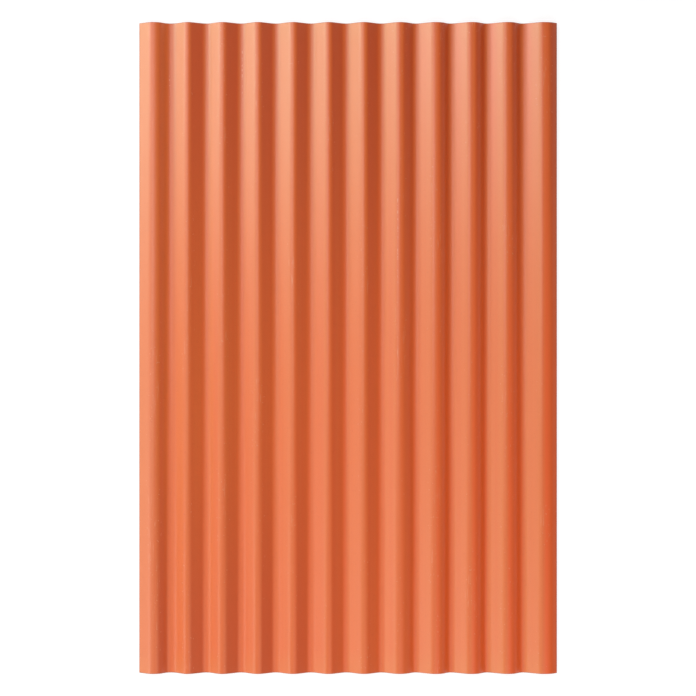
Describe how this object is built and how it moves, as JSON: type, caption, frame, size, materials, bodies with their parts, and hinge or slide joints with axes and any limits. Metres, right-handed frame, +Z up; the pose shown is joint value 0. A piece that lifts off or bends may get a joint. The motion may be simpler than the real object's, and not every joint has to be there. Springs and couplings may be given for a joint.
{
  "type": "corrugated pvc roofing sheet",
  "caption": "Terracotta PVC roofing sheet with round corrugations running along its length; laps with like sheets and sheds rain down its valleys.",
  "frame": {"origin": "on the surface that the valleys rest on, under the middle of the sheet", "axes": "+X across the waves, +Y along the waves towards the head end, +Z up out of the weather side"},
  "size_m": [0.9, 1.4, 0.018],
  "materials": {
    "pvc": "satin, coloured right through, with a faint grain"
  },
  "bodies": {
    "root": {"corrugated_sheet": "pvc"}
  },
  "joints": []
}
